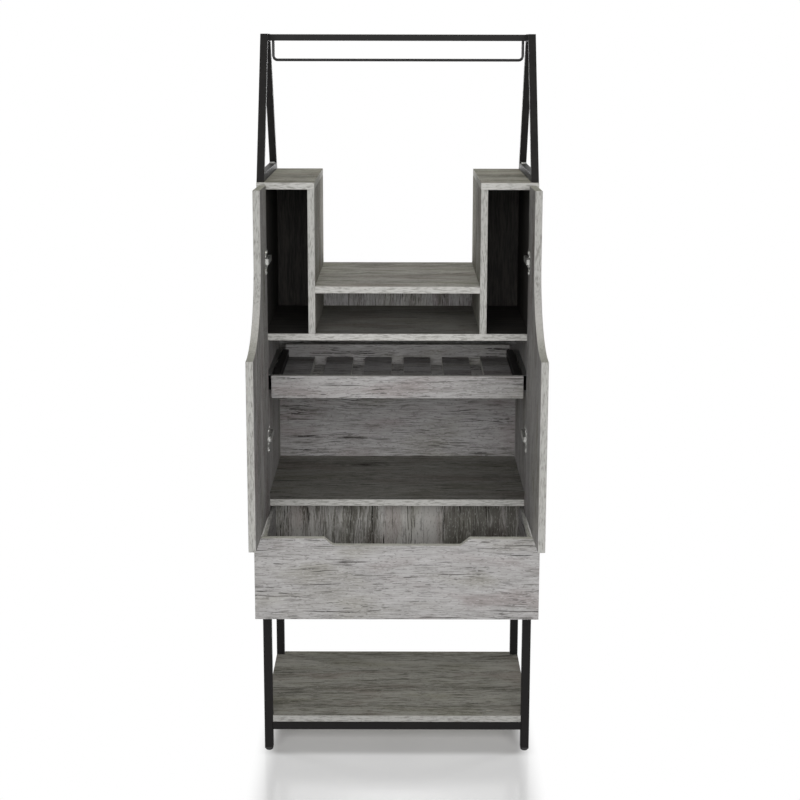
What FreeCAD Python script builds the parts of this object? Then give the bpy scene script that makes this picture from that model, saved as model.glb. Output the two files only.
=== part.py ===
import FreeCAD, Part
import math
import os

os.makedirs("parts", exist_ok=True)
V = FreeCAD.Vector

# Frame: millimetres, +Z up, the front faces -Y, origin on the floor under the middle of the case.

# Case of laminated boards
case_width = 600.0
case_depth = 385.0
case_top = 1290.0            # tops of the two side cubbies above the floor
case_bottom = 388.0          # underside of the bottom board above the floor
panel = 15.0
edge_ease = 0.6              # chamfer along every board edge
middle_shelf_top = 1067.5
upper_shelf_top = 964.5
drawer_shelf_top = 593.5
cubby_clear = 93.0           # clear width inside a side cubby
back_thick = 5.0
back_inset = 6.0             # how far the back boards sit in from the rear edges
groove_depth = 5.0
groove_play = 0.2

# Knock-down fittings
fit_play = 0.1               # radial room of a bolt, dowel or cam in its hole
fitting_sides = 8            # small round fittings and their holes have this many flats
hex_sides = 6
cam_radius = 7.4
cam_height = 12.0
cam_reach = 24.0             # from the end of a shelf to the middle of its cam
cam_slot = 7.2
bolt_radius = 3.0
bolt_grip = 10.0             # depth of a cam bolt in the upright
bolt_tip = 3.0               # how far a bolt stops short of the middle of its cam
cam_inset = 55.0             # from the front and rear edges to the cams
dowel_radius = 4.0
dowel_short = 9.0            # dowel depth in a board's face
dowel_long = 20.0            # dowel depth in a board's end
dowel_inset = 95.0
screw_radius = 3.0
screw_grip = 30.0            # depth of a frame screw in the side board
screw_head_radius = 5.0
screw_head = 3.0
leg_screw_inset = 80.0
top_screw_inset = 50.0

# Base of square tube
tube = 19.0
tube_wall = 1.2
tube_corner = 1.5
foot_shelf_top = 85.0
notch_play = 0.5             # room between the foot shelf and the legs
foot_height = 5.5
foot_radius = 8.5
foot_ease = 1.5
plug_flange = 2.5
plug_play = 0.1
plug_length = 24.0
stem_radius = 3.0
stem_length = 22.0
stem_play = 0.05

# Top frames, bar and hanging rod
top_tube = 16.0
top_frame_height = 310.0
top_frame_inset = 7.0        # base of a top frame, in from the front and rear edges
top_frame_flat = 77.0        # outer length of the short top side
bar = 14.0
bar_corner = 1.2
rod_radius = 3.0
rod_drop = 41.5              # from the underside of the bar to the middle of the rod
rod_end_gap = 6.0            # between a top frame and the upright of the rod
rod_bend = 9.0
rod_sides = 10

# Doors
door_thick = 15.0
door_gap = 4.0               # between a closed door and the front of the case
door_reveal = 2.0            # bare strip of the case outside a closed door
door_meeting = 3.0           # gap between the two closed doors
door_top = 1284.5
door_bottom = 570.5
door_top_width = 123.0
flare_radius = 178.0
flare_top = 1141.0           # where the straight narrow part meets the flare
door_open = 91.0             # angle of the doors as they are stored
hinge_heights = (733.0, 1122.0)

# Cup hinges
pivot_inset = 9.0            # pin axis from the door's hinge edge
pivot_depth = 9.5            # pin axis below the door's inner face
pin_radius = 1.25
pin_play = 0.05
pin_length = 23.0
cup_radius = 17.5
cup_sides = 12
cup_margin = 3.0             # wood left between the cup and the door's edge
cup_depth = 12.6
cup_wall = 0.6
cup_play = 0.1
cup_flange_height = 52.0
cup_flange_width = 22.0
cup_flange = 1.2
cup_flange_corner = 5.0
arm_metal = 2.2
arm_width = 12.0
arm_reach = 12.5             # from the pin axis to the web of the arm
arm_length = 58.0            # reach of the arm behind the front of the case
arm_lip = 5.0
arm_lip_metal = 1.5
arm_lip_start = 6.0
arm_bend = 2.0
knuckle_radius = 2.3
plate_thick = 2.5
plate_setback = 37.0
plate_width = 20.0
plate_height = 44.0
plate_rib_length = 38.0
hinge_play = 0.3

# Ball-bearing slides
slide_space = 13.3           # between the board that carries a slide and what slides
slide_height = 35.0
slide_metal = 1.2
slide_depth = 11.0
runner_height = 22.0
runner_depth = 5.0           # small enough to pass between the open doors
cage_metal = 0.8
cage_lip = 1.5
cage_offset = 4.6            # from the carrying board to the cage
cage_end = 2.0
ball_offset = 9.2            # from the carrying board to the middle of the balls
ball_play = 0.35
ball_facet = 0.586           # chamfer on a ball's cube, for each unit of its radius
balls_in_row = 2

# Stemware tray, stored pushed in
tray_length = 320.0
tray_setback = 2.0
tray_travel = 202.0
slat_top = 852.5
tray_front_rise = 18.0       # front rail above the slats
tray_back_rise = 29.5
tray_rail_height = 49.0
tray_front_overhang = 2.3    # front rail past the tray's sides
tray_back_setin = 7.7        # back rail short of the tray's sides
slot_count = 5
slot_width = 28.0

# Drawer, stored pulled out
drawer_out = 180.0
drawer_spare = 20.0          # travel that is left beyond the stored place
drawer_depth = 297.0
drawer_front_clear = 2.0     # drawer front above the underside of the case
drawer_meeting = 3.0         # drawer front below the doors
drawer_side_clear = 2.0      # between a drawer side and the side board
drawer_side_thick = 8.0
drawer_back_inset = 13.0     # back of the drawer, in from the ends of its sides
drawer_box_height = 141.0
drawer_slide_clear = 0.5     # between a slide of the drawer and the side board
drawer_slide_start = 8.0
drawer_slide_length = 270.0
finger_top = 152.0           # half width of the finger cut at the drawer's top edge
finger_bottom = 133.0
finger_depth = 15.5
finger_round = 10.0
finger_lip_round = 5.0

# Places that follow from the sizes above
half_width = case_width / 2
back = case_depth / 2
front = -back
inner_side = half_width - panel
divider_outer = inner_side - cubby_clear
divider_inner = divider_outer - panel
back_front = back - back_inset - back_thick
upright_top = case_top - panel
rail_top = foot_shelf_top - panel
leg_bottom = foot_height + plug_flange
bar_middle = case_top + top_frame_height - top_tube / 2
bar_reach = half_width - top_tube
door_inner = front - door_gap
hinge_edge = half_width - door_reveal
door_width = hinge_edge - door_meeting / 2
pivot_x = hinge_edge - pivot_inset
pivot_y = door_inner - pivot_depth
tray_side = inner_side - slide_space
tray_inner = tray_side - panel
tray_front = front + tray_setback
tray_back = tray_front + tray_length
slat_width = (2 * tray_inner - slot_count * slot_width) / (slot_count + 1)
tray_front_top = slat_top + tray_front_rise
tray_slide_z = tray_front_top - slide_height / 2
tray_slide_start = tray_front + panel
tray_slide_length = tray_length - 2 * panel
drawer_front_bottom = case_bottom + drawer_front_clear
drawer_front_top = door_bottom - drawer_meeting
drawer_side_outer = inner_side - drawer_side_clear
drawer_side_inner = drawer_side_outer - drawer_side_thick
drawer_slide_x = inner_side - drawer_slide_clear - slide_height / 2
drawer_floor = case_bottom + panel + slide_space
drawer_box_top = drawer_floor + drawer_box_height
sides = {"left": -1, "right": 1}
ends = {"front": -1, "back": 1}


def save(node, *solids):
    shape = solids[0] if len(solids) == 1 else Part.makeCompound(list(solids))
    shape.exportStep("parts/" + node + ".step")


def block(xs, ys, zs):
    low = [min(pair) for pair in (xs, ys, zs)]
    size = [abs(pair[1] - pair[0]) for pair in (xs, ys, zs)]
    return Part.makeBox(*size, V(*low))


def board(xs, ys, zs):
    shape = block(xs, ys, zs)
    return shape.makeChamfer(edge_ease, shape.Edges)


def outline_x(points, xs):
    # A closed outline of (y, z) points, carried from one x to the other
    corners = [V(xs[0], y, z) for y, z in points]
    return Part.Face(Part.makePolygon(corners + corners[:1])).extrude(V(xs[1] - xs[0], 0, 0))


def outline_y(points, ys):
    # A closed outline of (x, z) points, carried from one y to the other
    corners = [V(x, ys[0], z) for x, z in points]
    return Part.Face(Part.makePolygon(corners + corners[:1])).extrude(V(0, ys[1] - ys[0], 0))


def inset(points, distance):
    # The same outline with every side moved inwards; the points run counter-clockwise
    moved = []
    for i, here in enumerate(points):
        before = points[i - 1]
        after = points[(i + 1) % len(points)]
        normals = []
        for start, end in ((before, here), (here, after)):
            length = math.hypot(end[0] - start[0], end[1] - start[1])
            normals.append(((start[1] - end[1]) / length, (end[0] - start[0]) / length))
        (ax, ay), (bx, by) = normals
        reach = distance / (1 + ax * bx + ay * by)
        moved.append((here[0] + (ax + bx) * reach, here[1] + (ay + by) * reach))
    return moved


def square_bar(xs, ys, zs, corner):
    # A bar whose long edges are eased as on rolled square tube
    shape = block(xs, ys, zs)
    longest = max(edge.Length for edge in shape.Edges)
    return shape.makeChamfer(corner, [edge for edge in shape.Edges if edge.Length > longest - 0.001])


def flats(radius, count, start, way):
    # A face with this many equal sides, each as far from the middle as the radius
    turn = FreeCAD.Rotation(V(0, 0, 1), way)
    reach = radius / math.cos(math.pi / count)
    points = []
    for i in range(count):
        angle = (2 * i + 1) * math.pi / count
        points.append(start + turn.multVec(V(reach * math.cos(angle), reach * math.sin(angle), 0)))
    return Part.Face(Part.makePolygon(points + points[:1]))


def fitting(radius, length, start, way, count=fitting_sides):
    # A small round fitting or its hole, kept to a few flats
    return flats(radius, count, start, way).extrude(way * length)


up = V(0, 0, 1)


def shrink(pair, amount):
    low, high = min(pair), max(pair)
    return (low + amount, high - amount)


def face_edges(shape, axis):
    # Edges that lie flat in planes square to the axis
    return [edge for edge in shape.Edges if getattr(edge.BoundBox, axis + "Length") < 0.001]


def pair_y(edge_inset):
    # The two places, front and rear, that lie this far in from the case's edges
    return (front + edge_inset, back - edge_inset)


def shelf_ends(end_x, top, places):
    # Where the cam joints of a shelf are: side, y, height of the bolt and end of the shelf
    return [(side, y, top - panel / 2, end_x) for side in (-1, 1) for y in places]


cam_joints = {
    "upper_shelf": shelf_ends(inner_side, upper_shelf_top, pair_y(cam_inset)),
    "drawer_shelf": shelf_ends(inner_side, drawer_shelf_top, pair_y(cam_inset)),
    "bottom_board": shelf_ends(inner_side, case_bottom + panel, pair_y(cam_inset)),
    "middle_shelf": shelf_ends(divider_inner, middle_shelf_top, [0.0]),
}


def cam_holes(joints):
    # Cuts in a shelf: a blind hole from below for each cam and a bore from the end for its bolt
    cuts = []
    for side, y, z, end_x in joints:
        centre = V(side * (end_x - cam_reach), y, z - panel / 2)
        cuts.append(fitting(cam_radius + fit_play, cam_height + fit_play, centre, up))
        start = V(side * end_x, y, z)
        cuts.append(fitting(bolt_radius + fit_play, cam_reach, start, V(-side, 0, 0)))
    return cuts


def bolt_holes(joints, side):
    # Cuts in an upright for the cam bolts that screw into it
    cuts = []
    for joint_side, y, z, end_x in joints:
        if joint_side == side:
            start = V(side * end_x, y, z)
            cuts.append(fitting(bolt_radius + fit_play, bolt_grip + fit_play, start, V(side, 0, 0)))
    return cuts


def cam(side, y, z, end_x):
    centre = V(side * (end_x - cam_reach), y, z - panel / 2)
    disc = fitting(cam_radius, cam_height, centre, up)
    slot_ys = (y - cam_slot / 2, y + cam_slot / 2)
    slot_zs = (z - cam_slot / 2, z + cam_slot / 2)
    return disc.cut(block((centre.x, centre.x + side * 2 * cam_radius), slot_ys, slot_zs))


def cam_bolt(side, y, z, end_x):
    length = bolt_grip + cam_reach - bolt_tip
    return fitting(bolt_radius, length, V(side * (end_x + bolt_grip), y, z), V(-side, 0, 0))


# Dowels stand upright: x, height of the joint, depth below it and depth above it
dowel_joints = []
for sign in (-1, 1):
    for upright_middle in (inner_side + panel / 2, divider_inner + panel / 2):
        dowel_joints.append((sign * upright_middle, upright_top, dowel_long, dowel_short))
    dowel_joints.append((sign * (divider_inner + panel / 2), upper_shelf_top, dowel_short, dowel_long))


def dowel_solids(radius, end_play, side):
    solids = []
    for x, joint, below, above in dowel_joints:
        if x * side > 0:
            for y in pair_y(dowel_inset):
                start = V(x, y, joint - below - end_play)
                solids.append(fitting(radius, below + above + 2 * end_play, start, up))
    return solids


def dowel_holes(side):
    return dowel_solids(dowel_radius + fit_play, fit_play, side)


def frame_screw(x, y, seat, tip, radius, head):
    # A screw whose hexagon head, if it has one, bears on the seat and whose point is above or below it
    way = up if tip > seat else -up
    start = V(x, y, seat)
    shank = fitting(radius, abs(tip - seat), start, way)
    if head == 0:
        return shank
    return shank.fuse(fitting(screw_head_radius, head, start, -way, hex_sides))


def leg_screws(side, radius, head, end_play):
    x = side * (half_width - tube / 2)
    seat = case_bottom - tube
    tip = case_bottom + screw_grip + end_play
    return [frame_screw(x, y, seat, tip, radius, head) for y in pair_y(leg_screw_inset)]


def top_screws(side, radius, head, end_play):
    x = side * (half_width - top_tube / 2)
    seat = case_top + top_tube
    tip = upright_top - screw_grip - end_play
    return [frame_screw(x, y, seat, tip, radius, head) for y in pair_y(top_screw_inset)]


def screw_holes(side):
    radius = screw_radius + fit_play
    return leg_screws(side, radius, 0, fit_play) + top_screws(side, radius, 0, fit_play)


back_slot = (back_front - groove_play, back_front + back_thick + groove_play)


def side_board(side):
    shape = board((side * inner_side, side * half_width), (front, back), (case_bottom, upright_top))
    groove = block((side * inner_side, side * (inner_side + groove_depth)), back_slot, (case_bottom, upright_top))
    cuts = [groove] + dowel_holes(side) + screw_holes(side)
    for shelf in ("upper_shelf", "drawer_shelf", "bottom_board"):
        cuts += bolt_holes(cam_joints[shelf], side)
    return shape.cut(cuts)


def divider(side):
    shape = board((side * divider_inner, side * divider_outer), (front, back), (upper_shelf_top, upright_top))
    outer_xs = (side * divider_outer, side * (divider_outer - groove_depth))
    inner_xs = (side * divider_inner, side * (divider_inner + groove_depth))
    cuts = [
        block(outer_xs, back_slot, (upper_shelf_top, upright_top)),
        block(inner_xs, back_slot, (upper_shelf_top, middle_shelf_top - panel + groove_depth)),
    ]
    return shape.cut(cuts + dowel_holes(side) + bolt_holes(cam_joints["middle_shelf"], side))


def cubby_top(side):
    shape = board((side * divider_inner, side * half_width), (front, back), (upright_top, case_top))
    groove_xs = (side * (divider_outer - groove_depth), side * (inner_side + groove_depth))
    cuts = [block(groove_xs, back_slot, (upright_top, upright_top + groove_depth))]
    return shape.cut(cuts + dowel_holes(side) + top_screws(side, screw_radius + fit_play, 0, fit_play))


def middle_shelf():
    shape = board((-divider_inner, divider_inner), (front, back), (middle_shelf_top - panel, middle_shelf_top))
    underside = middle_shelf_top - panel
    groove = block((-divider_inner, divider_inner), back_slot, (underside, underside + groove_depth))
    return shape.cut([groove] + cam_holes(cam_joints["middle_shelf"]))


def upper_shelf():
    underside = upper_shelf_top - panel
    shape = board((-inner_side, inner_side), (front, back), (underside, upper_shelf_top))
    xs = (-inner_side, inner_side)
    cuts = [
        block(xs, back_slot, (underside, underside + groove_depth)),
        block(xs, back_slot, (upper_shelf_top - groove_depth, upper_shelf_top)),
    ]
    return shape.cut(cuts + dowel_holes(-1) + dowel_holes(1) + cam_holes(cam_joints["upper_shelf"]))


def drawer_shelf():
    zs = (drawer_shelf_top - panel, drawer_shelf_top)
    return board((-inner_side, inner_side), (front, back_front), zs).cut(cam_holes(cam_joints["drawer_shelf"]))


def bottom_board():
    top = case_bottom + panel
    shape = board((-inner_side, inner_side), (front, back), (case_bottom, top))
    groove = block((-inner_side, inner_side), back_slot, (top - groove_depth, top))
    return shape.cut([groove] + cam_holes(cam_joints["bottom_board"]))


def back_board(xs, zs):
    # A thin back whose four edges sit in grooves, short of the groove floor by the play
    grow = groove_play - groove_depth
    return block(shrink(xs, grow), (back_front, back_front + back_thick), shrink(zs, grow))


def leg_frame(side):
    xs = (side * half_width, side * (half_width - tube))
    hollow_xs = shrink(xs, tube_wall)
    bars = []
    hollows = []
    for end in (-1, 1):
        ys = (end * back, end * (back - tube))
        bars.append(square_bar(xs, ys, (leg_bottom, case_bottom), tube_corner))
        hollows.append(block(hollow_xs, shrink(ys, tube_wall), (leg_bottom, case_bottom - tube_wall)))
    rail_ys = (front + tube / 2, back - tube / 2)
    for top in (case_bottom, rail_top):
        zs = (top - tube, top)
        bars.append(square_bar(xs, rail_ys, zs, tube_corner))
        hollows.append(block(hollow_xs, rail_ys, shrink(zs, tube_wall)))
    cuts = hollows + leg_screws(side, screw_radius + 2 * fit_play, 0, fit_play)
    return bars[0].fuse(bars[1:]).cut(cuts)


def stretcher(end):
    xs = (tube - half_width, half_width - tube)
    ys = (end * back, end * (back - tube))
    zs = (rail_top - tube, rail_top)
    outer = square_bar(xs, ys, zs, tube_corner)
    return outer.cut(block(xs, shrink(ys, tube_wall), shrink(zs, tube_wall)))


def foot_shelf():
    shape = board((-half_width, half_width), (front, back), (rail_top, foot_shelf_top))
    notch = tube + notch_play
    cuts = []
    for side in (-1, 1):
        for end in (-1, 1):
            xs = (side * (half_width - notch), side * half_width)
            cuts.append(block(xs, (end * (back - notch), end * back), (rail_top, foot_shelf_top)))
    return shape.cut(cuts)


def leg_centre(side, end):
    return V(side * (half_width - tube / 2), end * (back - tube / 2), 0)


def leg_plug(side, end):
    # A push-in plug with a flange under the tube and a bore for the stem of the foot
    centre = leg_centre(side, end)
    flange_xs = (centre.x - tube / 2, centre.x + tube / 2)
    flange_ys = (centre.y - tube / 2, centre.y + tube / 2)
    flange = square_bar(flange_xs, flange_ys, (foot_height, leg_bottom), edge_ease)
    reach = tube / 2 - tube_wall - plug_play
    body_xs = (centre.x - reach, centre.x + reach)
    body_ys = (centre.y - reach, centre.y + reach)
    body = block(body_xs, body_ys, (leg_bottom, leg_bottom + plug_length))
    bore = fitting(stem_radius + stem_play, leg_bottom + plug_length, centre, up)
    return flange.fuse(body).cut(bore)


def levelling_foot(side, end):
    # Turned about its own upright axis: an eased pad with a stem
    centre = leg_centre(side, end)
    pad = Part.makeCylinder(foot_radius, foot_height, centre)
    rim = [edge for edge in face_edges(pad, "Z") if edge.BoundBox.ZMax < foot_ease]
    pad = pad.makeChamfer(foot_ease, rim)
    return pad.fuse(Part.makeCylinder(stem_radius, stem_length, centre + up * foot_height))


def top_frame(side):
    # Four mitred tubes: a base on the cubby top, two legs leaning together and a short top
    half_base = case_depth / 2 - top_frame_inset
    half_flat = top_frame_flat / 2
    peak = case_top + top_frame_height
    outline = [(-half_base, case_top), (half_base, case_top), (half_flat, peak), (-half_flat, peak)]
    xs = sorted((side * half_width, side * (half_width - top_tube)))
    ring = outline_x(outline, xs).cut(outline_x(inset(outline, top_tube), xs))
    ring = ring.makeChamfer(edge_ease, face_edges(ring, "X"))
    hollow_xs = shrink(xs, tube_wall)
    hollow = outline_x(inset(outline, tube_wall), hollow_xs)
    hollow = hollow.cut(outline_x(inset(outline, top_tube - tube_wall), hollow_xs))
    return ring.cut([hollow] + top_screws(side, screw_radius + 2 * fit_play, 0, fit_play))


def top_bar():
    xs = (-bar_reach, bar_reach)
    ys = (-bar / 2, bar / 2)
    zs = (bar_middle - bar / 2, bar_middle + bar / 2)
    return square_bar(xs, ys, zs, bar_corner).cut(block(xs, shrink(ys, tube_wall), shrink(zs, tube_wall)))


def hanging_rod():
    # One round rod, bent up at both ends to the underside of the bar
    x = bar_reach - rod_end_gap - rod_radius
    top = bar_middle - bar / 2
    low = top - rod_drop
    path = []
    corner = rod_bend * (1 - math.sqrt(0.5))
    left_up = Part.LineSegment(V(-x, 0, top), V(-x, 0, low + rod_bend))
    left_bend = Part.Arc(V(-x, 0, low + rod_bend), V(corner - x, 0, low + corner), V(rod_bend - x, 0, low))
    across = Part.LineSegment(V(rod_bend - x, 0, low), V(x - rod_bend, 0, low))
    right_bend = Part.Arc(V(x - rod_bend, 0, low), V(x - corner, 0, low + corner), V(x, 0, low + rod_bend))
    right_up = Part.LineSegment(V(x, 0, low + rod_bend), V(x, 0, top))
    for stretch in (left_up, left_bend, across, right_bend, right_up):
        path.append(stretch.toShape())
    section = flats(rod_radius, rod_sides, V(-x, 0, top), -up).Wires[0]
    return Part.Wire(path).makePipeShell([section], True, True)


def swing(shape, side):
    # From closed to the stored open angle
    return shape.rotated(V(side * pivot_x, pivot_y, 0), V(0, 0, 1), side * door_open)


def cup_centre(side, height):
    return V(side * (hinge_edge - cup_margin - cup_radius), door_inner, height)


def door_board(side):
    # Narrow over the cubby, flaring in one arc to half of the case's width
    def at(across, height):
        return V(side * (hinge_edge - across), door_inner - door_thick, height)

    arc_middle = door_top_width + flare_radius
    stop = math.acos((arc_middle - door_width) / flare_radius)
    corner = flare_top - flare_radius * math.sin(stop)
    bow = V(flare_radius * math.cos(stop / 2), 0, flare_radius * math.sin(stop / 2))
    arc = Part.Arc(at(door_width, corner), at(arc_middle - bow.x, flare_top - bow.z), at(door_top_width, flare_top))
    corners = [
        at(door_top_width, flare_top),
        at(door_top_width, door_top),
        at(0, door_top),
        at(0, door_bottom),
        at(door_width, door_bottom),
        at(door_width, corner),
    ]
    lines = [Part.LineSegment(a, b).toShape() for a, b in zip(corners, corners[1:])]
    shape = Part.Face(Part.Wire(lines + [arc.toShape()])).extrude(V(0, door_thick, 0))
    shape = shape.makeChamfer(edge_ease, face_edges(shape, "Y"))
    into = V(0, -1, 0)
    bores = []
    for height in hinge_heights:
        bores.append(fitting(cup_radius + cup_play, cup_depth + cup_play, cup_centre(side, height), into, cup_sides))
    return swing(shape.cut(bores), side)


def pin_foot(side, height, length):
    return V(side * pivot_x, pivot_y, height - length / 2)


def hinge_pin(side, height):
    return Part.makeCylinder(pin_radius, pin_length, pin_foot(side, height, pin_length))


def pin_bore(side, height, length):
    return fitting(pin_radius + pin_play, length, pin_foot(side, height, length), up)


def hinge_cup(side, height):
    # A pressed cup with a screw flange, and two ears inside that carry the pin
    centre = cup_centre(side, height)
    into = V(0, -1, 0)
    outer = fitting(cup_radius, cup_depth, centre, into, cup_sides)
    inner = fitting(cup_radius - cup_wall, cup_depth - cup_wall, centre, into, cup_sides)
    flange_xs = (centre.x - cup_flange_width / 2, centre.x + cup_flange_width / 2)
    flange_zs = (height - cup_flange_height / 2, height + cup_flange_height / 2)
    flange = block(flange_xs, (door_inner, door_inner + cup_flange), flange_zs)
    upright = [edge for edge in flange.Edges if edge.BoundBox.YLength > cup_flange - 0.001]
    flange = flange.makeChamfer(cup_flange_corner, upright)
    mouth = fitting(cup_radius - cup_wall, cup_flange, centre, -into, cup_sides)
    cup = outer.cut(inner).fuse(flange.cut(mouth))
    ear_xs = (side * pivot_x - knuckle_radius, side * pivot_x + knuckle_radius)
    ear_ys = (door_inner - cup_depth, pivot_y + knuckle_radius)
    near = arm_width / 2 + hinge_play
    for way in (-1, 1):
        ear = block(ear_xs, ear_ys, (height + way * near, height + way * pin_length / 2))
        cup = cup.fuse(ear.common(outer))
    return swing(cup.cut(pin_bore(side, height, pin_length)), side)


def hinge_arm(side, height):
    # A bent strip from the pin, across the cup and back along the side board, with two lips
    def at(inwards, y):
        return V(side * (pivot_x - inwards), y, height - arm_width / 2)

    half = arm_metal / 2
    web = arm_reach + arm_metal
    end = front + arm_length
    outline = [
        at(0, pivot_y + half),
        at(arm_reach, pivot_y + half),
        at(arm_reach, end),
        at(web, end),
        at(web, pivot_y - half + arm_bend),
        at(web - arm_bend, pivot_y - half),
        at(0, pivot_y - half),
    ]
    strip = Part.Face(Part.makePolygon(outline + outline[:1])).extrude(V(0, 0, arm_width))
    pieces = [fitting(knuckle_radius, arm_width, pin_foot(side, height, arm_width), up)]
    lip_xs = (side * (pivot_x - arm_reach), side * (pivot_x - arm_reach + arm_lip))
    for way in (-1, 1):
        lip_zs = (height + way * arm_width / 2, height + way * (arm_width / 2 - arm_lip_metal))
        pieces.append(block(lip_xs, (front + arm_lip_start, end), lip_zs))
    return strip.fuse(pieces).cut(pin_bore(side, height, arm_width))


def hinge_plate(side, height):
    # A winged plate on the side board with a rib that the arm sits on
    middle = front + plate_setback
    plate_xs = (side * (inner_side - plate_thick), side * inner_side)
    plate_ys = (middle - plate_width / 2, middle + plate_width / 2)
    plate = block(plate_xs, plate_ys, (height - plate_height / 2, height + plate_height / 2))
    wings = [edge for edge in plate.Edges if edge.BoundBox.XLength > plate_thick - 0.001]
    plate = plate.makeChamfer(cup_flange_corner, wings)
    half_rib = arm_width / 2 - arm_lip_metal - hinge_play
    rib_xs = (side * (pivot_x - arm_reach), side * (inner_side - plate_thick))
    rib_ys = (middle - plate_rib_length / 2, middle + plate_rib_length / 2)
    return plate.fuse(block(rib_xs, rib_ys, (height - half_rib, height + half_rib)))


def on_side_board(side, across, along):
    # Slides of the tray stand against the side boards
    return (side * (inner_side - across), tray_slide_z + along)


def on_bottom_board(side, across, along):
    # Slides of the drawer lie flat under its sides
    return (side * (drawer_slide_x + along), case_bottom + panel + across)


def channel(place, side, points, ys):
    # A rolled section given as distances from the carrying board and along it, carried along y
    return outline_y([place(side, across, along) for across, along in points], ys)


def mirror(half_section):
    # The other half of a section that is the same on both sides of its middle
    return [(across, -along) for across, along in reversed(half_section)]


def slide_rail(place, side, ys):
    # The fixed member: a channel that the balls run in
    half = slide_height / 2
    flat = half - slide_metal
    section = [(slide_metal, flat), (slide_depth, flat), (slide_depth, half), (0, half)]
    return channel(place, side, section + mirror(section), ys)


def slide_runner(place, side, ys):
    # The member on what slides: a smaller channel facing the fixed one
    half = runner_height / 2
    near = slide_space - slide_metal
    tip = slide_space - runner_depth
    section = [(near, half - slide_metal), (tip, half - slide_metal), (tip, half), (slide_space, half)]
    return channel(place, side, section + mirror(section), ys)


def ball_cage(place, side, ys):
    # A strip that holds two rows of balls between the members
    row = (runner_height / 2 + slide_height / 2 - slide_metal) / 2
    ball = (slide_height / 2 - slide_metal - runner_height / 2) / 2 - ball_play
    near = cage_offset + cage_metal
    tip = ball_offset + cage_lip
    top = row + cage_lip / 2
    section = [(near, row - cage_lip / 2), (tip, row - cage_lip / 2), (tip, top), (cage_offset, top)]
    cage = channel(place, side, section + mirror(section), ys)
    step = (ys[1] - ys[0]) / balls_in_row
    balls = []
    for i in range(balls_in_row):
        y = ys[0] + (i + 0.5) * step
        for way in (-1, 1):
            x, z = place(side, ball_offset, way * row)
            cube = block((x - ball, x + ball), (y - ball, y + ball), (z - ball, z + ball))
            balls.append(cube.makeChamfer(ball * ball_facet, cube.Edges))
    return cage.fuse(balls)


def cage_place(start, length, travel, left_to_run):
    # The cage lies between both members at every place of the runner, and moves half as far as it does
    first = start + cage_end + left_to_run / 2
    return (first, first + length - travel - 2 * cage_end)


def tray_rail(half_length, ys, top):
    return board((-half_length, half_length), ys, (top - tray_rail_height, top))


def tray_slat(number):
    start = -tray_inner + number * (slat_width + slot_width)
    return board((start, start + slat_width), (tray_front + panel, tray_back - panel), (slat_top - panel, slat_top))


def tray_side_rail(side):
    zs = (tray_front_top - tray_rail_height, tray_front_top)
    return board((side * tray_inner, side * tray_side), (tray_front + panel, tray_back - panel), zs)


def drawer_front():
    # A plain front with a shallow finger cut in its top edge
    low = drawer_front_top - finger_depth
    half = [
        (0, low),
        (finger_bottom, low),
        (finger_top, drawer_front_top),
        (hinge_edge, drawer_front_top),
        (hinge_edge, drawer_front_bottom),
    ]
    mirrored = [(-x, z) for x, z in reversed(half[1:])]
    ys = (door_inner - door_thick - drawer_out, door_inner - drawer_out)
    shape = outline_y(half[1:] + mirrored, ys)
    for x, z, radius in ((finger_bottom, low, finger_round), (finger_top, drawer_front_top, finger_lip_round)):
        corners = []
        for edge in shape.Edges:
            box = edge.BoundBox
            if box.YLength > door_thick - 0.001 and abs(abs(box.XMin) - x) < 0.001 and abs(box.ZMin - z) < 0.001:
                corners.append(edge)
        shape = shape.makeFillet(radius, corners)
    shape = shape.makeChamfer(edge_ease, face_edges(shape, "Y"))
    groove_reach = drawer_side_inner + groove_depth
    groove_ys = (ys[1] - groove_depth, ys[1])
    return shape.cut(block((-groove_reach, groove_reach), groove_ys, drawer_groove))


drawer_ys = (door_inner - drawer_out, front + drawer_depth - drawer_out)
drawer_groove = (drawer_floor - groove_play, drawer_floor + back_thick + groove_play)


def drawer_side(side):
    # The lower inner edge is rebated for the bottom, which lies on the slides together with the sides
    xs = (side * drawer_side_inner, side * drawer_side_outer)
    rebate_xs = (side * drawer_side_inner, side * (drawer_side_inner + groove_depth))
    return board(xs, drawer_ys, (drawer_floor, drawer_box_top)).cut(block(rebate_xs, drawer_ys, drawer_groove))


def drawer_back():
    end = drawer_ys[1] - drawer_back_inset
    xs = (-drawer_side_inner, drawer_side_inner)
    return board(xs, (end - panel, end), (drawer_floor + back_thick, drawer_box_top))


def drawer_bottom():
    reach = drawer_side_inner + groove_depth - groove_play
    ys = (drawer_ys[0] - groove_depth + groove_play, drawer_ys[1])
    return block((-reach, reach), ys, (drawer_floor, drawer_floor + back_thick))


# Case
for name, sign in sides.items():
    save(name + "_side_board", side_board(sign))
    save(name + "_divider", divider(sign))
    save(name + "_cubby_top", cubby_top(sign))
    save(name + "_cubby_back", back_board((sign * divider_outer, sign * inner_side), (upper_shelf_top, upright_top)))
    save(name + "_leg_frame", leg_frame(sign))
    save(name + "_top_frame", top_frame(sign))
save("middle_shelf", middle_shelf())
save("upper_shelf", upper_shelf())
save("drawer_shelf", drawer_shelf())
save("bottom_board", bottom_board())
save("niche_back", back_board((-divider_inner, divider_inner), (upper_shelf_top, middle_shelf_top - panel)))
save("lower_back", back_board((-inner_side, inner_side), (case_bottom + panel, upper_shelf_top - panel)))
for name, end in ends.items():
    save(name + "_stretcher", stretcher(end))
save("foot_shelf", foot_shelf())
save("top_bar", top_bar())
save("hanging_rod", hanging_rod())

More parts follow.
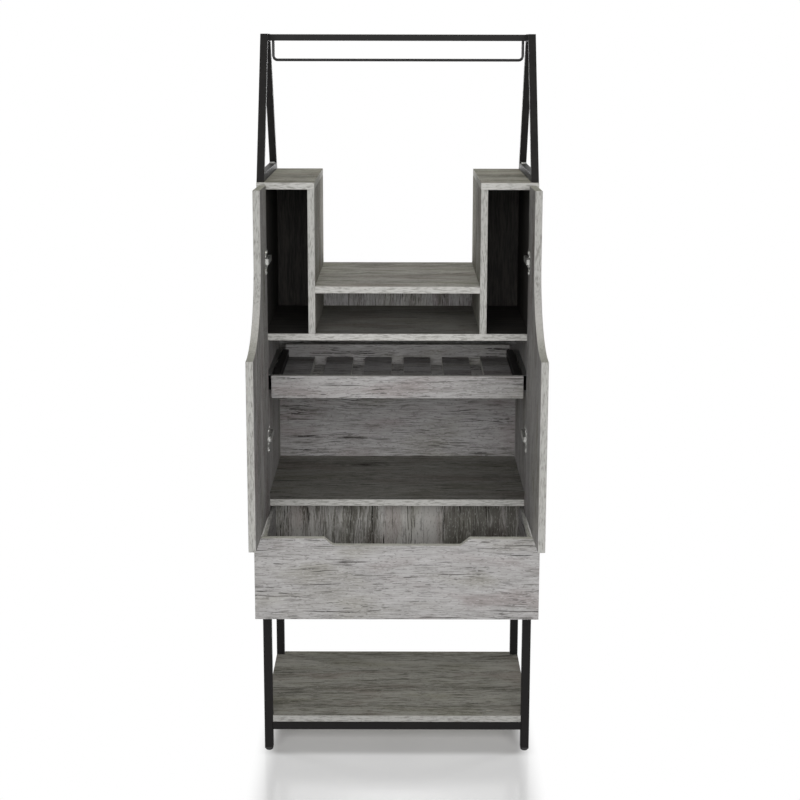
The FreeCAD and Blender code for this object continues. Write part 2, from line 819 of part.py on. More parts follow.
# Fittings, each kind one group of separate solids
all_cams = [joint for joints in cam_joints.values() for joint in joints]
save("cam_locks", *[cam(*joint) for joint in all_cams])
save("cam_bolts", *[cam_bolt(*joint) for joint in all_cams])
save("dowels", *[dowel for sign in (-1, 1) for dowel in dowel_solids(dowel_radius, 0, sign)])
frame_screws = []
for sign in (-1, 1):
    frame_screws += leg_screws(sign, screw_radius, screw_head, 0)
    frame_screws += top_screws(sign, screw_radius, screw_head, 0)
save("frame_screws", *frame_screws)

# Feet
corners = [(side, end) for end in ends for side in sides]
save("leg_plugs", *[leg_plug(sides[side], ends[end]) for side, end in corners])
for side, end in corners:
    save("foot_" + end + "_" + side, levelling_foot(sides[side], ends[end]))

# Doors and their hinges
for name, sign in sides.items():
    save(name + "_door", door_board(sign))
    save(name + "_hinge_cups", *[hinge_cup(sign, height) for height in hinge_heights])
hinges = [(sign, height) for sign in (-1, 1) for height in hinge_heights]
save("hinge_arms", *[hinge_arm(*hinge) for hinge in hinges])
save("hinge_plates", *[hinge_plate(*hinge) for hinge in hinges])
save("hinge_pins", *[hinge_pin(*hinge) for hinge in hinges])

# Tray and its slides
save("tray_front_rail", tray_rail(tray_side + tray_front_overhang, (tray_front, tray_front + panel),
                                  tray_front_top))
save("tray_back_rail", tray_rail(tray_side - tray_back_setin, (tray_back - panel, tray_back),
                                 slat_top + tray_back_rise))
for number in range(slot_count + 1):
    save("tray_slat_" + str(number + 1), tray_slat(number))
for name, sign in sides.items():
    save("tray_" + name + "_side", tray_side_rail(sign))
tray_slide_ys = (tray_slide_start, tray_slide_start + tray_slide_length)
tray_cage_ys = cage_place(tray_slide_start, tray_slide_length, tray_travel, tray_travel)
save("tray_slide_rails", *[slide_rail(on_side_board, sign, tray_slide_ys) for sign in (-1, 1)])
save("tray_slide_runners", *[slide_runner(on_side_board, sign, tray_slide_ys) for sign in (-1, 1)])
save("tray_ball_cages", *[ball_cage(on_side_board, sign, tray_cage_ys) for sign in (-1, 1)])

# Drawer and its slides
save("drawer_front", drawer_front())
for name, sign in sides.items():
    save("drawer_" + name + "_side", drawer_side(sign))
save("drawer_back", drawer_back())
save("drawer_bottom", drawer_bottom())
rail_start = front + drawer_slide_start
rail_ys = (rail_start, rail_start + drawer_slide_length)
runner_ys = (rail_ys[0] - drawer_out, rail_ys[1] - drawer_out)
drawer_cage_ys = cage_place(rail_start, drawer_slide_length, drawer_out + drawer_spare, drawer_spare)
save("drawer_slide_rails", *[slide_rail(on_bottom_board, sign, rail_ys) for sign in (-1, 1)])
save("drawer_slide_runners", *[slide_runner(on_bottom_board, sign, runner_ys) for sign in (-1, 1)])
save("drawer_ball_cages", *[ball_cage(on_bottom_board, sign, drawer_cage_ys) for sign in (-1, 1)])
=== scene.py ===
import math
import bmesh
import bpy
from mathutils import Matrix, Vector


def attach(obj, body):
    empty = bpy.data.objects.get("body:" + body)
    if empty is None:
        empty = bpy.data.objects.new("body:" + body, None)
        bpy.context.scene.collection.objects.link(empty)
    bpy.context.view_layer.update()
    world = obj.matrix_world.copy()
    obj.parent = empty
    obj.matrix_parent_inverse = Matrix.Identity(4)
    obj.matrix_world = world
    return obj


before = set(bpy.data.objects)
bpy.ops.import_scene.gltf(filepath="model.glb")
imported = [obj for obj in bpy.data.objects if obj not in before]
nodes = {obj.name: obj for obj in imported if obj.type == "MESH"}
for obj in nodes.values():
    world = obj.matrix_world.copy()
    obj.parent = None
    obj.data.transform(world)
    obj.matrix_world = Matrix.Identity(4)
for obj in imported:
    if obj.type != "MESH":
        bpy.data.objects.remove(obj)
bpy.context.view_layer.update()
print("frame loaded:", len(nodes), "nodes")

white = (1.0, 1.0, 1.0, 1.0)


class Val:
    # a shader socket that can be used in sums
    def __init__(self, shade, socket):
        self.shade = shade
        self.socket = socket

    def math(self, operation, first, second=0.0):
        return self.shade.node("ShaderNodeMath", {"operation": operation}, {0: first, 1: second})

    def __add__(self, other):
        return self.math("ADD", self, other)

    def __sub__(self, other):
        return self.math("SUBTRACT", self, other)

    def __mul__(self, other):
        return self.math("MULTIPLY", self, other)

    def __rsub__(self, other):
        return self.math("SUBTRACT", other, self)

    __radd__ = __add__
    __rmul__ = __mul__

    def size(self):
        return self.math("ABSOLUTE", self)

    def root(self):
        return self.math("SQRT", self)

    def wave(self):
        return self.math("SINE", self) * 0.5 + 0.5

    def most(self, other):
        return self.math("MAXIMUM", self, other)

    def rise(self, low, high):
        # 0 below low, 1 above high, smooth between; low above high turns it round
        settings = {"interpolation_type": "SMOOTHSTEP"}
        return self.shade.node("ShaderNodeMapRange", settings, {0: self, 1: low, 2: high, 3: 0.0, 4: 1.0})


class Shade:
    # one material or world tree, with the nodes that the finishes use
    def __init__(self, owner):
        self.tree = owner.node_tree
        self.tree.nodes.clear()

    def node(self, kind, settings=None, sockets=None, out=0):
        made = self.tree.nodes.new(kind)
        for key, value in (settings or {}).items():
            if key == "stops":
                self.setStops(made.color_ramp, value)
            else:
                setattr(made, key, value)
        for key, value in (sockets or {}).items():
            if isinstance(value, Val):
                self.tree.links.new(value.socket, made.inputs[key])
            else:
                made.inputs[key].default_value = value
        return Val(self, made.outputs[out]) if made.outputs else None

    def setStops(self, ramp, stops):
        for place, colour in stops[1:-1]:
            ramp.elements.new(place)
        for element, (place, colour) in zip(ramp.elements, stops):
            element.position = place
            element.color = colour

    def ramp(self, value, stops):
        return self.node("ShaderNodeValToRGB", {"stops": stops}, {0: value})

    def mix(self, factor, first, second, blend="MIX"):
        settings = {"data_type": "RGBA", "blend_type": blend}
        return self.node("ShaderNodeMix", settings, {0: factor, 6: first, 7: second}, out=2)

    # multiplies painted shade into a colour, channel by channel
    def paintedShading(self, colour, red, green, blue):
        return self.mix(1.0, colour, (red, green, blue, 1.0), "MULTIPLY")

    def split(self, vector):
        parts = self.node("ShaderNodeSeparateXYZ", {}, {0: vector})
        return [Val(self, socket) for socket in parts.socket.node.outputs]

    def join(self, x, y, z):
        return self.node("ShaderNodeCombineXYZ", {}, {0: x, 1: y, 2: z})

    def stretch(self, vector, factors):
        return self.node("ShaderNodeVectorMath", {"operation": "MULTIPLY"}, {0: vector, 1: factors})

    def noise(self, vector, factors, detail, rough):
        place = self.stretch(vector, factors)
        sockets = {"Vector": place, "Scale": 1.0, "Detail": detail, "Roughness": rough}
        return self.node("ShaderNodeTexNoise", {}, sockets)

    def place(self):
        return self.node("ShaderNodeTexCoord", {}, {}, out=3)  # object coordinates

    def facing(self):
        # how far a face turns to X, Y and Z, 0 to 1 each
        turned = self.node("ShaderNodeTexCoord", {}, {}, out=1)  # the normal
        return [axis.size() for axis in self.split(turned)]

    def rays(self, numbers):
        # 1 for rays of the given kinds: 0 camera, 3 glossy, 6 transmission
        kinds = [self.node("ShaderNodeLightPath", {}, {}, out=number) for number in numbers]
        seen = kinds[0]
        for kind in kinds[1:]:
            seen = seen.most(kind)
        return seen

    def bump(self, height, strength, reach):
        return self.node("ShaderNodeBump", {}, {"Height": height, "Strength": strength, "Distance": reach})

    def surface(self, sockets):
        shader = self.node("ShaderNodeBsdfPrincipled", {}, sockets)
        self.node("ShaderNodeOutputMaterial", {}, {"Surface": shader})


def newMaterial(name):
    made = bpy.data.materials.new(name)
    made.use_nodes = True
    return made, Shade(made)


def tone(red, green, blue):
    # a screen colour, 0 to 255, as the linear colour that sockets take
    parts = [part / 255 for part in (red, green, blue)]
    linear = [part / 12.92 if part <= 0.04 else ((part + 0.055) / 1.055) ** 2.4 for part in parts]
    return (*linear, 1.0)


def dress(names, material):
    for name in names:
        slots = nodes[name].data.materials
        slots.clear()
        slots.append(material)


# weathered grey oak laminate, one pattern for all, with a finish for each kind of board, darkened by painted
# shade for how light falls on that board
oak = {
    "pale": tone(190, 188, 186),
    "middle": tone(166, 164, 161),
    "dark": tone(112, 110, 105),
    "crack": tone(40, 38, 34),
    "olive": tone(219, 218, 204),
    "brown": tone(214, 202, 200),
    "knot": tone(66, 62, 56),
    "edge": tone(197, 196, 192),
    "edgeTick": tone(118, 116, 110),
    "lining": tone(56, 55, 54),
    "liningPale": tone(78, 75, 72),
    "liningFibre": 0.6,
    "liningFigure": 0.4,
    "liningSpread": (0.4, 0.62),
    "boardShift": 5.0,  # how far the pattern moves on from one board to the next
    "sway": 0.03,  # metres that the grain wanders
    "toneStops": (0.16, 0.5, 0.82),
    "toneMiddle": 0.56,
    "bands": 0.45,  # share of each pattern in the light and dark of the wood
    "figure": 0.42,
    "fibre": 1.25,
    "height": {"fibre": 0.5, "figure": 0.4, "crack": -1.2, "pores": 0.2},
    "bump": (0.35, 0.0007),  # strength and reach in metres
    "roughness": 0.66,
    "fibreRough": 0.22,
    "crackRough": 0.2,
    "specular": 0.01,
}
grainPatterns = {  # repeats in a metre along, across and through a board, then detail and roughness
    "wander": ((3.0, 9.0, 3.0), 3.0, 0.55),
    "bands": ((1.3, 14.0, 2.0), 3.0, 0.55),
    "figure": ((7.0, 90.0, 3.0), 4.0, 0.65),
    "fibre": ((26.0, 420.0, 4.0), 4.0, 0.7),
    "long": ((6.0, 300.0, 3.0), 1.5, 0.5),
    "short": ((24.0, 300.0, 5.0), 2.0, 0.5),
    "patch": ((5.0, 22.0, 2.0), 2.0, 0.55),
    "flecks": ((120.0, 320.0, 6.0), 2.0, 0.5),
    "pores": ((110.0, 330.0, 6.0), 2.0, 0.5),
    "tints": ((4.5, 15.0, 2.5), 2.0, 0.5),
    "streaks": ((60.0, 430.0, 430.0), 3.0, 0.6),
    "ticks": ((130.0, 130.0, 60.0), 3.0, 0.6),
}
marks = {  # where a mark starts and is full on its pattern, and how strong it is
    "olive": {"range": (0.5, 0.7), "strength": 0.5},
    "brown": {"range": (0.48, 0.3), "strength": 0.55},
    "hairline": {"range": (0.605, 0.63), "patch": (0.38, 0.6), "strength": 0.62},
    "crack": {"range": (0.645, 0.665), "patch": (0.4, 0.52), "strength": 0.85},
    "fleck": {"range": (0.58, 0.68), "strength": 0.5},
    "pore": {"range": (0.58, 0.7), "strength": 0.5},
}
knots = {
    "cells": (2.4, 6.5, 1.0),  # in a metre along, across and through
    "chosen": (0.78, 0.8),  # only cells above this have one
    "core": (0.1, 0.03),
    "halo": (0.24, 0.08),
    "rings": 120.0,
    "ringStrength": 0.55,
    "wobble": 0.06,
    "strength": 0.7,
}
edges = {
    "turn": (0.75, 0.45),  # a face turned this far from the board's broad side is an edge
    "streak": (0.46, 0.66),
    "streakStrength": 0.6,
    "tick": (0.56, 0.7),
    "tickStrength": 0.35,
    "corner": (0.93, 0.8),
    "paleCornerLeast": 0.25,
    "paleCornerMore": 0.5,
}
cubby = {"inside": 0.1915, "outside": 0.2855, "low": 0.964, "high": 1.2755, "front": -0.1905, "soft": 0.0004}
boardPlain = {"lined": False, "contrast": 1.0, "banding": 1.0, "paintedShading": 1.0, "edgePaintedShade": 1.0, "blue": 1.03}
# lies gives the axis of the grain, then of the thickness; the darkening factor is painted shade for how
# light falls on that board, and painted light where above 1; blue gives the share of blue in the cast, a
# painted tint of that light
boardFinishes = {
    "greyOakSlat": {
        "boards": [f"tray_slat_{number}" for number in range(1, 7)],
        "lies": "xz", "contrast": 1.6, "paintedShading": 0.88, "blue": 1.05,
    },
    "greyOakShelf": {"boards": ["middle_shelf"], "lies": "xz", "contrast": 2.0, "paintedShading": 0.88},
    "greyOakFoot": {
        "boards": ["foot_shelf"],
        "lies": "xz", "contrast": 2.0, "banding": 2.0, "paintedShading": 0.94, "edgePaintedShade": 0.82, "blue": 0.92,
    },
    "greyOakInside": {
        "boards": ["drawer_shelf", "bottom_board", "drawer_bottom"],
        "lies": "xz", "contrast": 1.4, "paintedShading": 0.64, "blue": 0.95,
    },
    "greyOakShelfLined": {"boards": ["upper_shelf"], "lies": "xz", "lined": True, "paintedShading": 0.75, "blue": 0.96},
    "greyOakTopLined": {
        "boards": ["left_cubby_top", "right_cubby_top"],
        "lies": "xz", "lined": True, "contrast": 2.2, "paintedShading": 0.9, "blue": 1.0,
    },
    "greyOakSideLined": {"boards": ["left_side_board", "right_side_board"], "lies": "zx", "lined": True},
    "greyOakDividerLined": {
        "boards": ["left_divider", "right_divider"],
        "lies": "zx", "lined": True, "contrast": 1.6, "paintedShading": 0.8, "edgePaintedShade": 0.86, "blue": 0.94,
    },
    "greyOakDoor": {
        "boards": ["left_door", "right_door"],
        "lies": "zx", "contrast": 1.5, "paintedShading": 0.9, "edgePaintedShade": 0.78,
    },
    "greyOakFront": {
        "boards": ["drawer_front", "tray_front_rail", "tray_back_rail"],
        "lies": "xy", "paintedShading": 0.98,
    },
    "greyOakLowerBack": {"boards": ["lower_back"], "lies": "xy", "contrast": 1.5, "paintedShading": 0.9},
    "greyOakBack": {"boards": ["niche_back"], "lies": "zy", "contrast": 1.6, "banding": 1.5, "paintedShading": 1.05},
    "greyOakStreaked": {
        "boards": ["drawer_back"],
        "lies": "zy", "contrast": 2.4, "banding": 3.6, "paintedShading": 0.92, "blue": 0.98,
    },
    "greyOakBackLined": {"boards": ["left_cubby_back", "right_cubby_back"], "lies": "zy", "lined": True},
    "greyOakSide": {"boards": ["drawer_left_side", "drawer_right_side"], "lies": "yx"},
}


def cubbyMask(x, y, z):
    # the two side cubbies are lined in black behind their front edges
    soft = cubby["soft"]
    wide = x.size().rise(cubby["inside"] - soft, cubby["inside"])
    wide = wide * x.size().rise(cubby["outside"] + soft, cubby["outside"])
    tall = z.rise(cubby["low"] - soft, cubby["low"]) * z.rise(cubby["high"] + soft, cubby["high"])
    return wide * tall * y.rise(cubby["front"] - soft, cubby["front"])


def knotMask(shade, grain, figure):
    # a knot here and there, ringed and drawn out along the grain
    cells = {"Vector": shade.stretch(grain, knots["cells"]), "Scale": 1.0, "Randomness": 1.0}
    nearness = shade.node("ShaderNodeTexVoronoi", {}, cells)
    chosen = shade.split(shade.node("ShaderNodeTexVoronoi", {}, cells, out=1))[0]
    rings = ((nearness + figure * knots["wobble"]) * knots["rings"]).wave()
    halo = rings * nearness.rise(*knots["halo"]) * knots["ringStrength"]
    return (nearness.rise(*knots["core"]) + halo) * chosen.rise(*knots["chosen"])


def greyOak(name, plan):
    material, shade = newMaterial(name)
    axes = shade.split(shade.place())
    grainAxis, thickAxis = ["xyz".index(letter) for letter in plan["lies"]]
    acrossAxis = 3 - grainAxis - thickAxis  # the one that is left of 0, 1 and 2
    along, across, deep = axes[grainAxis], axes[acrossAxis], axes[thickAxis]
    boards = shade.join(along, across, deep * oak["boardShift"])

    def lay(word, vector):
        return shade.noise(vector, *grainPatterns[word])

    def mark(word, pattern):
        return pattern.rise(*marks[word]["range"])

    # the grain wanders a little before any pattern is laid on it
    sway = (lay("wander", boards) - 0.5) * oak["sway"]
    grain = shade.join(along, across + sway, deep * oak["boardShift"])
    bands, figure, fibre = [lay(word, grain) for word in ("bands", "figure", "fibre")]
    patch, pores, tints, ticks = [lay(word, boards) for word in ("patch", "pores", "tints", "ticks")]
    depth = (bands - 0.5) * (oak["bands"] * plan["banding"])
    depth = depth + (figure - 0.5) * oak["figure"] + (fibre - 0.5) * oak["fibre"]
    stops = list(zip(oak["toneStops"], (oak["dark"], oak["middle"], oak["pale"])))
    colour = shade.ramp(depth * plan["contrast"] + oak["toneMiddle"], stops)
    for word in ("olive", "brown"):
        colour = shade.mix(mark(word, tints) * marks[word]["strength"], colour, oak[word], "MULTIPLY")

    # dark lines come in patches, flecks and pale pores all over
    hairline = mark("hairline", lay("short", grain)) * patch.rise(*marks["hairline"]["patch"])
    crack = mark("crack", lay("long", grain)) * patch.rise(*marks["crack"]["patch"])
    fleck = mark("fleck", lay("flecks", boards))
    colour = shade.mix(hairline * marks["hairline"]["strength"], colour, oak["crack"])
    colour = shade.mix(crack * marks["crack"]["strength"], colour, oak["crack"])
    colour = shade.mix(fleck * marks["fleck"]["strength"], colour, oak["dark"])
    colour = shade.mix(mark("pore", pores) * marks["pore"]["strength"], colour, oak["pale"])
    colour = shade.mix(knotMask(shade, grain, figure) * knots["strength"], colour, oak["knot"])
    # painted shade: each board is darkened for how light falls on it, lightened as painted light where the
    # factor is above 1, with a painted tint in blue
    colour = shade.paintedShading(colour, plan["paintedShading"], plan["paintedShading"], plan["paintedShading"] * plan["blue"])

    # edge bands are paler, with short ticks, darkened on some boards as painted shade, and the eased corners
    # are paler
    sizes = shade.facing()
    streaks = lay("streaks", shade.join(along, across, deep))
    streaked = streaks.rise(*edges["streak"]) * edges["streakStrength"]
    ticked = ticks.rise(*edges["tick"]) * edges["tickStrength"]
    edgeColour = shade.mix(streaked, oak["edge"], oak["edgeTick"])
    edgeColour = shade.mix(ticked, edgeColour, oak["edgeTick"])
    # painted shade on the edge bands of some boards, for how light falls on them
    edgeColour = shade.paintedShading(edgeColour, plan["edgePaintedShade"], plan["edgePaintedShade"], plan["edgePaintedShade"])
    colour = shade.mix(sizes[thickAxis].rise(*edges["turn"]), colour, edgeColour)
    # the eased corners are paler, more where the ticks are
    paleCorner = sizes[0].most(sizes[1]).most(sizes[2]).rise(*edges["corner"])
    colour = shade.mix(paleCorner * (edges["paleCornerLeast"] + ticks * edges["paleCornerMore"]), colour, oak["pale"])
    if plan["lined"]:
        streaky = fibre * oak["liningFibre"] + figure * oak["liningFigure"]
        liningColour = shade.mix(streaky.rise(*oak["liningSpread"]), oak["lining"], oak["liningPale"])
        colour = shade.mix(cubbyMask(*axes), colour, liningColour)

    relief = oak["height"]
    height = fibre * relief["fibre"] + figure * relief["figure"]
    height = height + crack * relief["crack"] + pores * relief["pores"]
    shade.surface({
        "Base Color": colour,
        "Roughness": oak["roughness"] + (fibre - 0.5) * oak["fibreRough"] + crack * oak["crackRough"],
        "Specular IOR Level": oak["specular"],
        "Normal": shade.bump(height, *oak["bump"]),
    })
    return material


for finishName, finishPlan in boardFinishes.items():
    dress(finishPlan["boards"], greyOak(finishName, {**boardPlain, **finishPlan}))
print("boards dressed")

# black powder coat on the welded tube and, glossier, the hanging rod; the tray's sides are black too as
# painted shade, where the slides lie in the case's shade
blackCoat = {
    "colour": tone(31, 30, 30),
    "worn": tone(62, 61, 59),
    "dust": tone(36, 35, 34),
    "pebble": ((1500.0, 1500.0, 1500.0), 2.0, 0.5),
    "cloud": ((14.0, 14.0, 14.0), 3.0, 0.6),
    "rub": ((60.0, 60.0, 60.0), 3.0, 0.6),
    "corner": (0.95, 0.85),
    "rubRange": (0.45, 0.7),
    "rubStrength": 0.25,
    "dustRange": (0.45, 0.75),
    "dustStrength": 0.5,
    "bump": (0.2, 0.0002),
    "cloudRough": 0.18,
    "pebbleRough": 0.1,
}
tubeCoat = {"roughness": 0.45, "specular": 0.09}
rodCoat = {"roughness": 0.3, "specular": 0.3}


def makeBlackCoat(name, gloss):
    material, shade = newMaterial(name)
    point = shade.place()
    pebble = shade.noise(point, *blackCoat["pebble"])
    cloud = shade.noise(point, *blackCoat["cloud"])
    sizes = shade.facing()
    corner = sizes[0].most(sizes[1]).most(sizes[2]).rise(*blackCoat["corner"])
    rub = corner * shade.noise(point, *blackCoat["rub"]).rise(*blackCoat["rubRange"])
    dusty = cloud.rise(*blackCoat["dustRange"]) * blackCoat["dustStrength"]
    uneven = (cloud - 0.5) * blackCoat["cloudRough"] + (pebble - 0.5) * blackCoat["pebbleRough"]
    colour = shade.mix(dusty, blackCoat["colour"], blackCoat["dust"])
    colour = shade.mix(rub * blackCoat["rubStrength"], colour, blackCoat["worn"])
    shade.surface({
        "Base Color": colour,
        "Roughness": gloss["roughness"] + uneven,
        "Specular IOR Level": gloss["specular"],
        "Normal": shade.bump(pebble, *blackCoat["bump"]),
    })
    return material


coated = ["left_leg_frame", "right_leg_frame", "front_stretcher", "back_stretcher"]
# the tray's sides are black as painted shade, dark where the case shades the slides
coated += ["left_top_frame", "right_top_frame", "top_bar", "tray_left_side", "tray_right_side"]
dress(coated, makeBlackCoat("blackPowderCoat", tubeCoat))
dress(["hanging_rod"], makeBlackCoat("blackRodCoat", rodCoat))
print("frames dressed")

# bright zinc for hinges, screws and cams, and the same zinc made darker for the tray's slides as painted
# shade
zinc = {"bright": tone(226, 226, 222), "dull": tone(136, 136, 133), "roughness": 0.36}
# painted shade: the tray's slides are zinc made darker for the shade in which they sit
paintedShadeZinc = {"bright": tone(120, 120, 119), "dull": tone(70, 70, 70), "roughness": 0.4}
plating = {
    "spangle": ((160.0, 160.0, 160.0), 3.0, 0.6),
    "drawn": ((500.0, 14.0, 500.0), 3.0, 0.6),  # lines left by rolling, along Y
    "spangleShare": 0.6,
    "drawnShare": 0.4,
    "spread": (0.35, 0.65),
    "metallic": 0.55,
    "spangleRough": 0.25,
    "drawnRough": 0.15,
    "bump": (0.12, 0.0002),
}


def makeZinc(name, finish):
    material, shade = newMaterial(name)
    point = shade.place()
    spangle = shade.noise(point, *plating["spangle"])
    drawn = shade.noise(point, *plating["drawn"])
    mottle = (spangle * plating["spangleShare"] + drawn * plating["drawnShare"]).rise(*plating["spread"])
    uneven = (spangle - 0.5) * plating["spangleRough"] + (drawn - 0.5) * plating["drawnRough"]
    shade.surface({
        "Base Color": shade.mix(mottle, finish["dull"], finish["bright"]),
        "Metallic": plating["metallic"],
        "Roughness": finish["roughness"] + uneven,
        "Normal": shade.bump(drawn, *plating["bump"]),
    })
    return material


brightZinc = makeZinc("brightZinc", zinc)
dress(["cam_locks", "cam_bolts", "frame_screws", "hinge_arms", "hinge_plates", "hinge_pins"], brightZinc)
dress(["left_hinge_cups", "right_hinge_cups"], brightZinc)
dress(["drawer_slide_rails", "drawer_slide_runners", "drawer_ball_cages", "tray_ball_cages"], brightZinc)
dress(["tray_slide_rails", "tray_slide_runners"], makeZinc("zincWithPaintedShade", paintedShadeZinc))

# matt black plastic of the plugs and glides
blackPlastic = {
    "colour": tone(28, 28, 28),
    "scuff": tone(58, 58, 57),
    "grain": ((900.0, 900.0, 900.0), 2.0, 0.5),
    "scuffs": ((120.0, 120.0, 300.0), 3.0, 0.6),
    "scuffRange": (0.58, 0.75),
    "scuffStrength": 0.5,
    "bump": (0.25, 0.0002),
    "roughness": 0.6,
    "grainRough": 0.15,
    "scuffRough": 0.1,
}


def makeBlackPlastic():
    material, shade = newMaterial("blackPlastic")
    point = shade.place()
    grain = shade.noise(point, *blackPlastic["grain"])
    scuff = shade.noise(point, *blackPlastic["scuffs"]).rise(*blackPlastic["scuffRange"])
    uneven = (grain - 0.5) * blackPlastic["grainRough"] + scuff * blackPlastic["scuffRough"]
    marked = scuff * blackPlastic["scuffStrength"]
    shade.surface({
        "Base Color": shade.mix(marked, blackPlastic["colour"], blackPlastic["scuff"]),
        "Roughness": blackPlastic["roughness"] + uneven,
        "Normal": shade.bump(grain, *blackPlastic["bump"]),
    })
    return material


feet = [f"foot_{end}_{side}" for end in ("front", "back") for side in ("left", "right")]
dress(feet + ["leg_plugs"], makeBlackPlastic())

# plain beech of the dowels
beech = {
    "pale": tone(205, 172, 132),
    "fleck": tone(164, 124, 84),
    "grain": ((60.0, 420.0, 420.0), 3.0, 0.6),
    "fleckRange": (0.42, 0.66),
    "bump": (0.2, 0.0003),
    "roughness": 0.6,
    "fleckRough": 0.2,
}


def makeBeech():
    material, shade = newMaterial("beech")
    fleck = shade.noise(shade.place(), *beech["grain"])
    shade.surface({
        "Base Color": shade.mix(fleck.rise(*beech["fleckRange"]), beech["pale"], beech["fleck"]),
        "Roughness": beech["roughness"] + (fleck - 0.5) * beech["fleckRough"],
        "Normal": shade.bump(fleck, *beech["bump"]),
    })
    return material


dress(["dowels"], makeBeech())
print("metal, plastic and dowels dressed")

# cross-head screws of the hinges
screw = {
    "radius": 0.0034,
    "height": 0.0013,
    "round": 0.0006,
    "recess": 0.0009,
    "sides": 16,
    "rim": 0.18,  # of the radius, round the recess
    "waist": 0.36,  # of the radius, between the arms of the cross
}


def crossHead(mesh, seat, outward):
    # a domed head with a cross recess, seated on a point and facing outward
    earlier = set(mesh.verts)
    made = bmesh.ops.create_circle(mesh, cap_ends=True, segments=screw["sides"], radius=screw["radius"])
    base = made["verts"][0].link_faces[0]
    raised = bmesh.ops.extrude_face_region(mesh, geom=[base])["geom"]
    top = [item for item in raised if isinstance(item, bmesh.types.BMFace)][0]
    bmesh.ops.translate(mesh, verts=top.verts, vec=(0, 0, screw["height"]))
    bevelled = bmesh.ops.bevel(mesh, geom=list(top.edges), offset=screw["round"], segments=2, profile=0.5,
                               affect="EDGES", material=-1)["faces"]
    candidates = bevelled + [top] if top.is_valid else bevelled
    top = max(candidates, key=lambda face: len(face.verts))
    bmesh.ops.inset_individual(mesh, faces=[top], thickness=screw["radius"] * screw["rim"])
    for index, corner in enumerate(top.verts):
        if index % 4 != 0:  # every fourth corner stays out as the tip of the cross
            corner.co.x *= screw["waist"]
            corner.co.y *= screw["waist"]
    sunk = bmesh.ops.extrude_face_region(mesh, geom=[top])["geom"]
    bottom = [item for item in sunk if isinstance(item, bmesh.types.BMVert)]
    bmesh.ops.translate(mesh, verts=bottom, vec=(0, 0, -screw["recess"]))
    bmesh.ops.delete(mesh, geom=[top], context="FACES_ONLY")
    turn = Vector((0, 0, 1)).rotation_difference(Vector(outward)).to_matrix().to_4x4()
    fresh = [vert for vert in mesh.verts if vert not in earlier]
    bmesh.ops.transform(mesh, matrix=Matrix.Translation(seat) @ turn, verts=fresh)


def makeObject(mesh, name, material):
    data = bpy.data.meshes.new(name)
    mesh.to_mesh(data)
    mesh.free()
    data.materials.append(material)
    piece = bpy.data.objects.new(name, data)
    bpy.context.scene.collection.objects.link(piece)
    return piece


def finishPiece(mesh, name, material, body):
    bmesh.ops.recalc_face_normals(mesh, faces=mesh.faces)
    piece = makeObject(mesh, name, material)
    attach(piece, body)


hinge = {
    "heights": (0.733, 1.122),
    "pivot": (0.289, -0.206),
    "openAngle": math.radians(91),
    "cupCentre": 0.2775,  # from the middle of the cabinet, with the door shut
    "flangeFace": -0.1953,  # Y of the flange's face, with the door shut
    "flangeScrew": 0.0215,  # each way from the hinge's middle
    "plateFace": 0.2825,
    "plateMiddle": -0.1555,
    "plateScrew": 0.015,
}


def hingeScrews(side, word):
    onDoor = bmesh.new()
    onCase = bmesh.new()
    for height in hinge["heights"]:
        for way in (-1, 1):
            seat = (side * hinge["cupCentre"], hinge["flangeFace"], height + way * hinge["flangeScrew"])
            crossHead(onDoor, seat, (0, 1, 0))
            seat = (side * hinge["plateFace"], hinge["plateMiddle"], height + way * hinge["plateScrew"])
            crossHead(onCase, seat, (-side, 0, 0))
    pivot = (side * hinge["pivot"][0], hinge["pivot"][1], 0)
    opened = Matrix.Rotation(side * hinge["openAngle"], 3, "Z")
    bmesh.ops.rotate(onDoor, cent=pivot, matrix=opened, verts=onDoor.verts)
    finishPiece(onDoor, f"{word}_cup_screws", brightZinc, f"{word}_door")
    finishPiece(onCase, f"{word}_plate_screws", brightZinc, "case")


hingeScrews(-1, "left")
hingeScrews(1, "right")
print("screws made")

# floor, white away from the object, with the shadow, a painted shadow under the object, and a soft
# reflection near it
floorPlan = {
    "reach": 6.0,
    "colour": (0.8, 0.8, 0.8, 1.0),
    "glow": 0.36,
    "paintedShadowGlow": (0.3, 0.29, 0.28, 1.0),  # share of the glow below the object, less glow there as a painted shadow
    "paintedShadowEnd": (-0.225, -0.19),
    "shine": 0.13,  # share of the reflection
    "blur": 0.16,
    "middle": (0.0, -0.27),
    "half": (0.265, 0.4),  # from there the floor fades to white
    "fade": (0.0, 0.06),
}


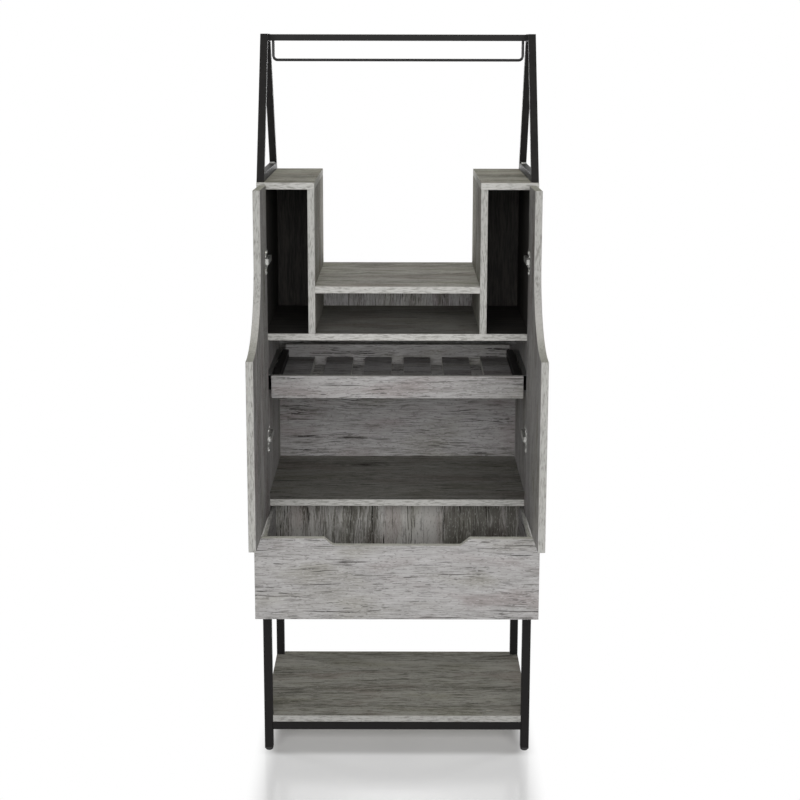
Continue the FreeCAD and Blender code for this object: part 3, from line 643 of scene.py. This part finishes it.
def makeFloor():
    material, shade = newMaterial("paleFloor")
    x, y, z = shade.split(shade.place())
    pastX = ((x - floorPlan["middle"][0]).size() - floorPlan["half"][0]).most(0.0)
    pastY = ((y - floorPlan["middle"][1]).size() - floorPlan["half"][1]).most(0.0)
    away = (pastX * pastX + pastY * pastY).root().rise(*floorPlan["fade"])
    plain = shade.node("ShaderNodeBsdfDiffuse", {}, {"Color": floorPlan["colour"]})
    # the glow drops behind the front, under the object: a painted shadow
    under = shade.mix(y.rise(*floorPlan["paintedShadowEnd"]), white, floorPlan["paintedShadowGlow"])
    glow = shade.node("ShaderNodeEmission", {}, {"Color": under, "Strength": floorPlan["glow"]})
    lit = shade.node("ShaderNodeAddShader", {}, {0: plain, 1: glow})
    shine = shade.node("ShaderNodeBsdfGlossy", {}, {"Color": white, "Roughness": floorPlan["blur"]})
    lit = shade.node("ShaderNodeMixShader", {}, {0: floorPlan["shine"], 1: lit, 2: shine})
    clear = shade.node("ShaderNodeEmission", {}, {"Color": white, "Strength": 1.0})
    shown = shade.node("ShaderNodeMixShader", {}, {0: away, 1: lit, 2: clear})
    both = shade.node("ShaderNodeMixShader", {}, {0: shade.rays((0, 3)), 1: plain, 2: shown})
    shade.node("ShaderNodeOutputMaterial", {}, {"Surface": both})
    mesh = bmesh.new()
    bmesh.ops.create_grid(mesh, x_segments=1, y_segments=1, size=floorPlan["reach"])
    floor = makeObject(mesh, "floor", material)


makeFloor()

# soft studio light: white where the camera or a reflection looks past the object, dim as a light
ambient = 0.05
world = bpy.data.worlds.new("studio")
bpy.context.scene.world = world
world.use_nodes = True
sky = Shade(world)
skyStrength = sky.rays((0, 3, 6)) * (1 - ambient) + ambient
backdrop = sky.node("ShaderNodeBackground", {}, {"Color": white, "Strength": skyStrength})
sky.node("ShaderNodeOutputWorld", {}, {"Surface": backdrop})

plainLight = (1.0, 1.0, 1.0)
topLight = (1.0, 1.0, 0.82)
lamps = {  # place, point that it faces, size, watts and colour
    "front": ((0, -4.0, 1.8), (0, -0.1, 0.95), (5.2, 2.1), 150, plainLight),
    "overhead": ((0, 0.2, 3.5), (0, -0.1, 0.9), (0.5, 0.5), 20, topLight),
    "behind": ((0, 3.6, 1.0), (0, 0, 0.9), (0.5, 1.6), 10, plainLight),
    "left": ((-3.2, 1.5, 0.45), (-0.3, 0.05, 0.9), (0.8, 0.6), 46, plainLight),
    "right": ((3.2, 1.5, 0.45), (0.3, 0.05, 0.9), (0.8, 0.6), 46, plainLight),
}


def makeLamp(name, place, target, size, watts, colour):
    light = bpy.data.lights.new(name, "AREA")
    light.shape = "RECTANGLE"
    light.size, light.size_y = size
    light.energy = watts
    light.color = colour
    lamp = bpy.data.objects.new(name, light)
    bpy.context.scene.collection.objects.link(lamp)
    lamp.location = place
    lamp.rotation_euler = (Vector(target) - Vector(place)).to_track_quat("-Z", "Y").to_euler()


for lampName, lampPlan in lamps.items():
    makeLamp(lampName, *lampPlan)

view = {
    "lens": 70.97,  # millimetres on a 36 mm frame
    "place": (0.00553, -3.54008, 1.5808),
    "pitch": math.radians(90 - 11.091),
    "roll": math.radians(0.11),
    "shift": -0.06,
}
cameraData = bpy.data.cameras.new("camera")
cameraData.lens = view["lens"]
cameraData.shift_y = view["shift"]
camera = bpy.data.objects.new("camera", cameraData)
bpy.context.scene.collection.objects.link(camera)
turned = Matrix.Rotation(view["pitch"], 4, "X") @ Matrix.Rotation(view["roll"], 4, "Z")
camera.matrix_world = Matrix.Translation(view["place"]) @ turned
bpy.context.scene.camera = camera
bpy.context.scene.view_settings.view_transform = "Standard"
print("floor, light and camera set")
